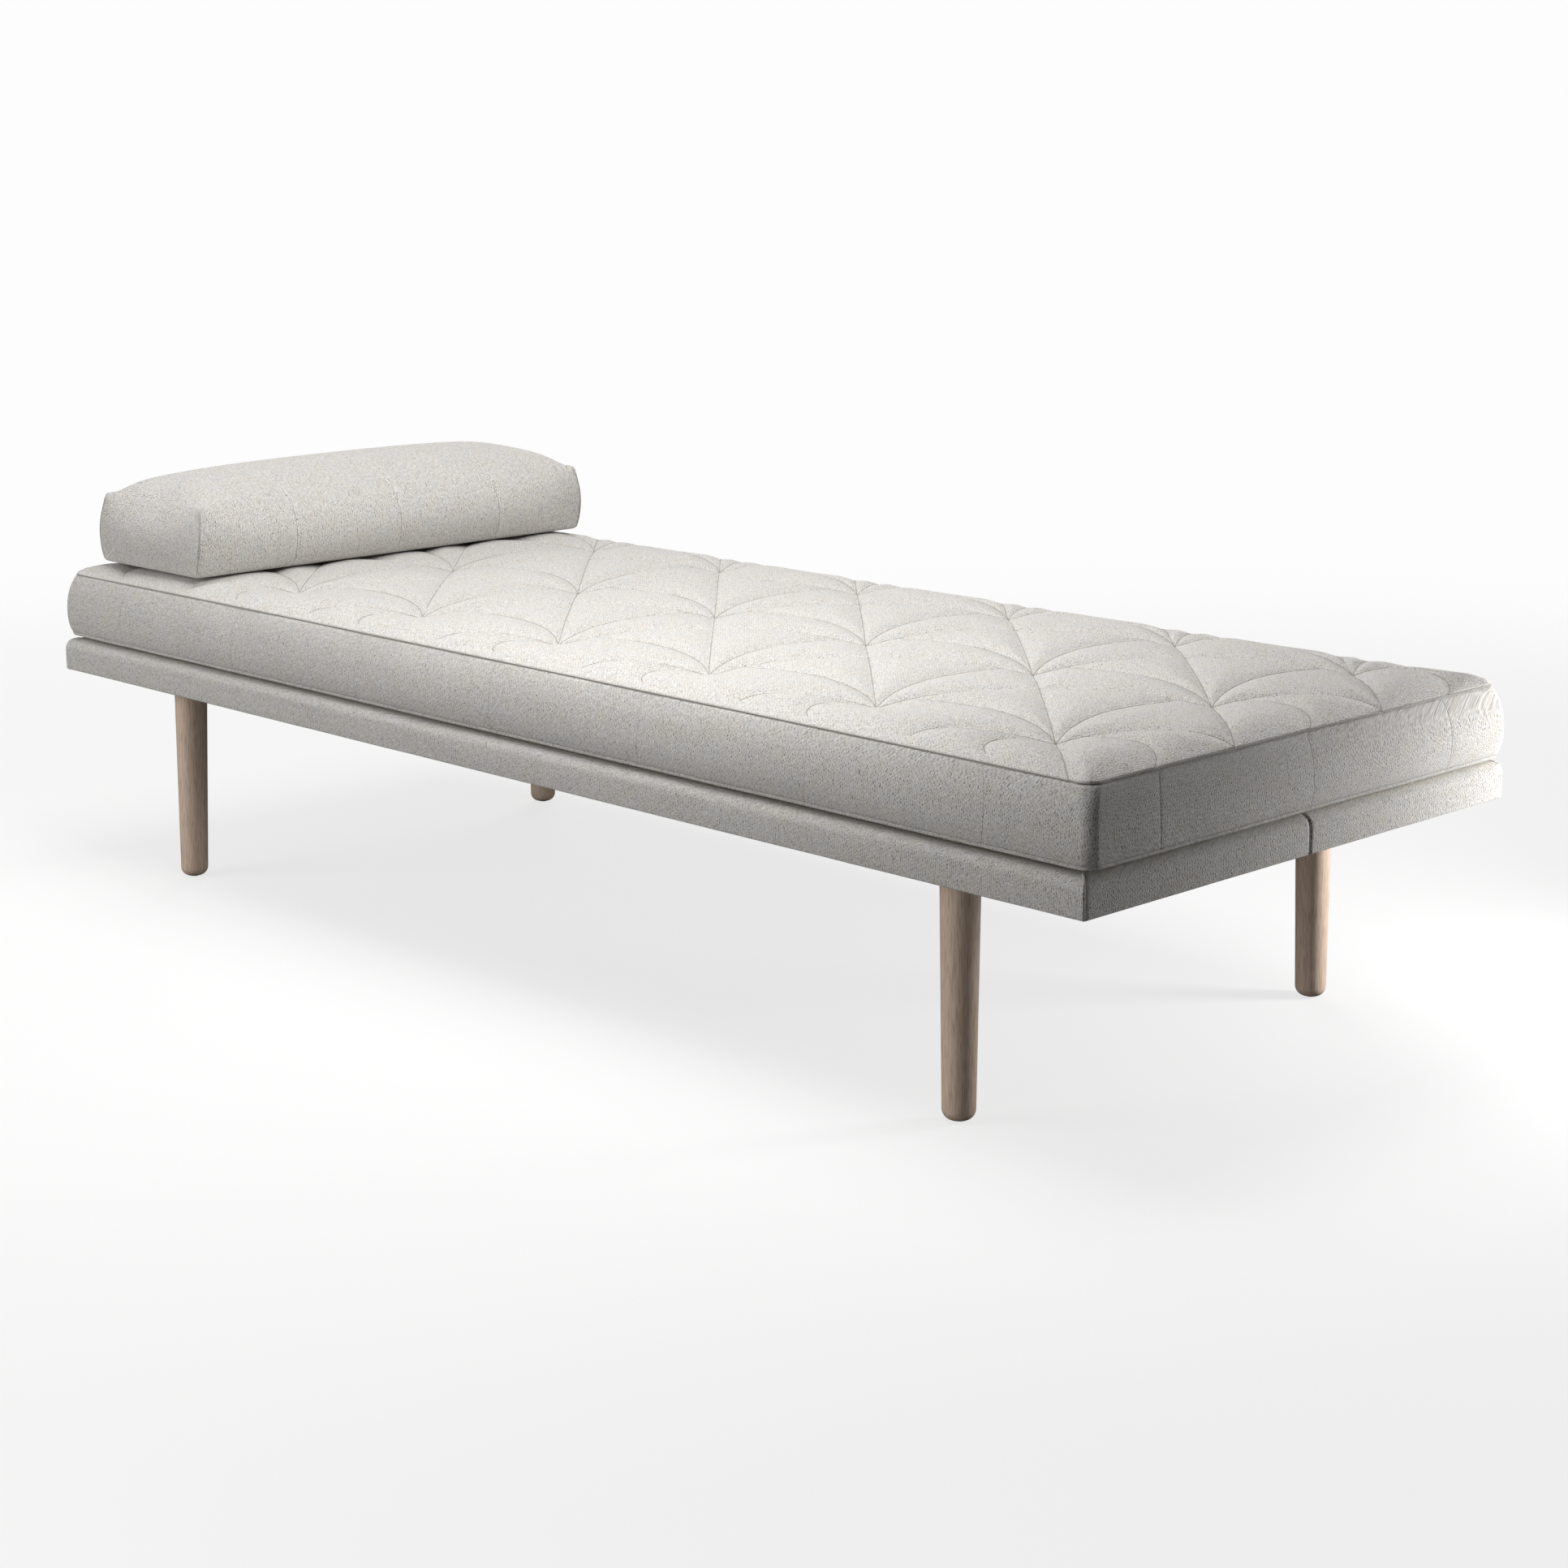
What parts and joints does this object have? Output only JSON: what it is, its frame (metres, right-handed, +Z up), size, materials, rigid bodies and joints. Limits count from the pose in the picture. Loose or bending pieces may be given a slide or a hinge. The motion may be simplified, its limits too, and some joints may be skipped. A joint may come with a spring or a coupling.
{
  "type": "daybed",
  "caption": "Daybed with a thin upholstered platform on turned wooden legs, a loose quilted mattress and a loose box bolster at the head end.",
  "frame": {"origin": "on the floor, under the middle of the bed", "axes": "+X along the bed from head to foot, with the bolster at -X; +Y across it; +Z up"},
  "size_m": [2.054, 0.83, 0.616],
  "materials": {
    "dust_cloth": "matte",
    "felt": "matte",
    "foam": "matte",
    "leg_wood": "satin",
    "lining_cloth": "matte",
    "pine": "matte",
    "plywood": "matte",
    "wadding": "matte",
    "woven_cloth": "matte",
    "zinc_steel": "satin",
    "zip_plastic": "matte"
  },
  "bodies": {
    "platform": {"base_cover_back": "woven_cloth", "base_cover_front": "woven_cloth", "base_wadding": "wadding", "corner_gussets": "pine", "cross_rail_1": "pine", "cross_rail_2": "pine", "cross_rail_3": "pine", "cross_rail_4": "pine", "cross_rail_5": "pine", "deck_panel": "plywood", "dust_cover": "dust_cloth", "end_rail_foot": "pine", "end_rail_head": "pine", "frame_screws": "zinc_steel", "hem_staples": "zinc_steel", "leg_back_foot": "leg_wood", "leg_back_head": "leg_wood", "leg_block_back_foot": "leg_wood", "leg_block_back_head": "leg_wood", "leg_block_front_foot": "leg_wood", "leg_block_front_head": "leg_wood", "leg_bolts": "zinc_steel", "leg_front_foot": "leg_wood", "leg_front_head": "leg_wood", "leg_glides": "felt", "leg_nuts": "zinc_steel", "side_rail_back": "pine", "side_rail_front": "pine"},
    "mattress": {"mattress_bottom_panel": "lining_cloth", "mattress_core": "foam", "mattress_quilted_top": "woven_cloth", "mattress_side_band": "woven_cloth", "mattress_top_welt": "woven_cloth", "mattress_wadding": "wadding"},
    "bolster": {"bolster_bottom_panel": "lining_cloth", "bolster_core": "foam", "bolster_cover": "woven_cloth", "bolster_zip": "zip_plastic"}
  },
  "joints": [
    {"name": "mattress_lift", "type": "slide", "parent": "platform", "child": "mattress", "axis": [0, 0, 1], "range_m": [0, 0.3]},
    {"name": "bolster_lift", "type": "slide", "parent": "mattress", "child": "bolster", "axis": [0, 0, 1], "range_m": [0, 0.3]}
  ]
}
